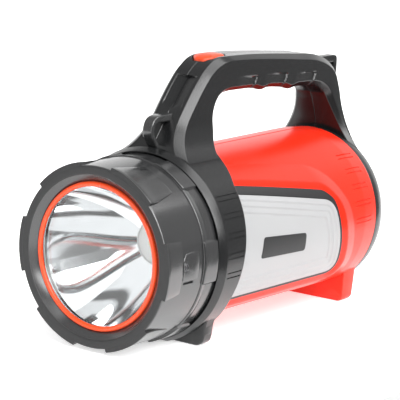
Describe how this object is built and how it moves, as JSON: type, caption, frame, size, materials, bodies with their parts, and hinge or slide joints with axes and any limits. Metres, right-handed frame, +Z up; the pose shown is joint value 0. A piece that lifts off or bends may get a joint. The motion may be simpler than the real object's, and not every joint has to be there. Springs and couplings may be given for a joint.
{
  "type": "hand-held searchlight",
  "caption": "Hand-held rechargeable LED searchlight: round lugged head, red barrel with frosted side lamps, closed top handle with push button, strap eyelets and feet.",
  "frame": {"origin": "centre of the bounding box, on the ground plane that the two feet stand on", "axes": "+Z up, the lamp shines along -Y, +X is the side seen in the picture"},
  "size_m": [0.1152, 0.241, 0.1621],
  "materials": {
    "black_plastic": "fine spark-eroded black plastic",
    "head_plastic": "semi-gloss black plastic",
    "red_plastic": "satin red plastic",
    "orange_plastic": "gloss orange-red plastic",
    "frosted_plastic": "frosted white translucent plastic",
    "trim_plastic": "dark grey plastic",
    "clear_plastic": "clear polished plastic",
    "mirror_metal": "vacuum-metallised mirror",
    "seal_rubber": "soft black rubber",
    "lamp_white": "white solder mask",
    "lamp_dome": "clear dome over yellow phosphor",
    "bare_aluminium": "plain aluminium",
    "screw_steel": "zinc-plated steel",
    "board_green": "green circuit board",
    "switch_black": "black switch plastic",
    "cell_wrap": "blue shrink sleeve",
    "tray_plastic": "grey moulded plastic",
    "lead_sleeve": "red wire insulation",
    "socket_metal": "nickel-plated sheet"
  },
  "bodies": {
    "lamp": {"head_shell": "head_plastic", "head_screws": "screw_steel", "accent_ring": "orange_plastic", "front_lens": "clear_plastic", "lens_seal": "seal_rubber", "reflector": "mirror_metal", "led_emitter": "lamp_dome", "led_board": "lamp_white", "heat_sink": "bare_aluminium", "collar_ring": "head_plastic", "handle_right": "black_plastic", "handle_left": "black_plastic", "handle_screws": "screw_steel", "front_strap_loop": "head_plastic", "tact_switch": "switch_black", "switch_board": "board_green", "body_shell_right": "red_plastic", "body_shell_left": "red_plastic", "side_trim_right": "trim_plastic", "side_trim_left": "trim_plastic", "side_lens_right": "frosted_plastic", "side_lens_left": "frosted_plastic", "side_leds_right": "lamp_white", "side_leds_left": "lamp_white", "battery_tray": "tray_plastic", "battery_cells": "cell_wrap", "driver_board": "board_green", "lamp_leads": "lead_sleeve", "rear_cap": "black_plastic", "charge_socket": "socket_metal"},
    "button": {"push_button": "orange_plastic", "switch_plunger": "switch_black"},
    "port_flap": {"port_cover": "seal_rubber"}
  },
  "joints": [
    {"name": "button_press", "type": "slide", "parent": "lamp", "child": "button", "axis": [0, 0, -1], "range_m": [0, 0.0012], "stiffness_N_per_m": 900},
    {"name": "port_flap_swing", "type": "hinge", "parent": "lamp", "child": "port_flap", "pos_m": [0, 0.1141, 0.0436], "axis": [1, 0, 0], "range_deg": [0, 90]}
  ]
}
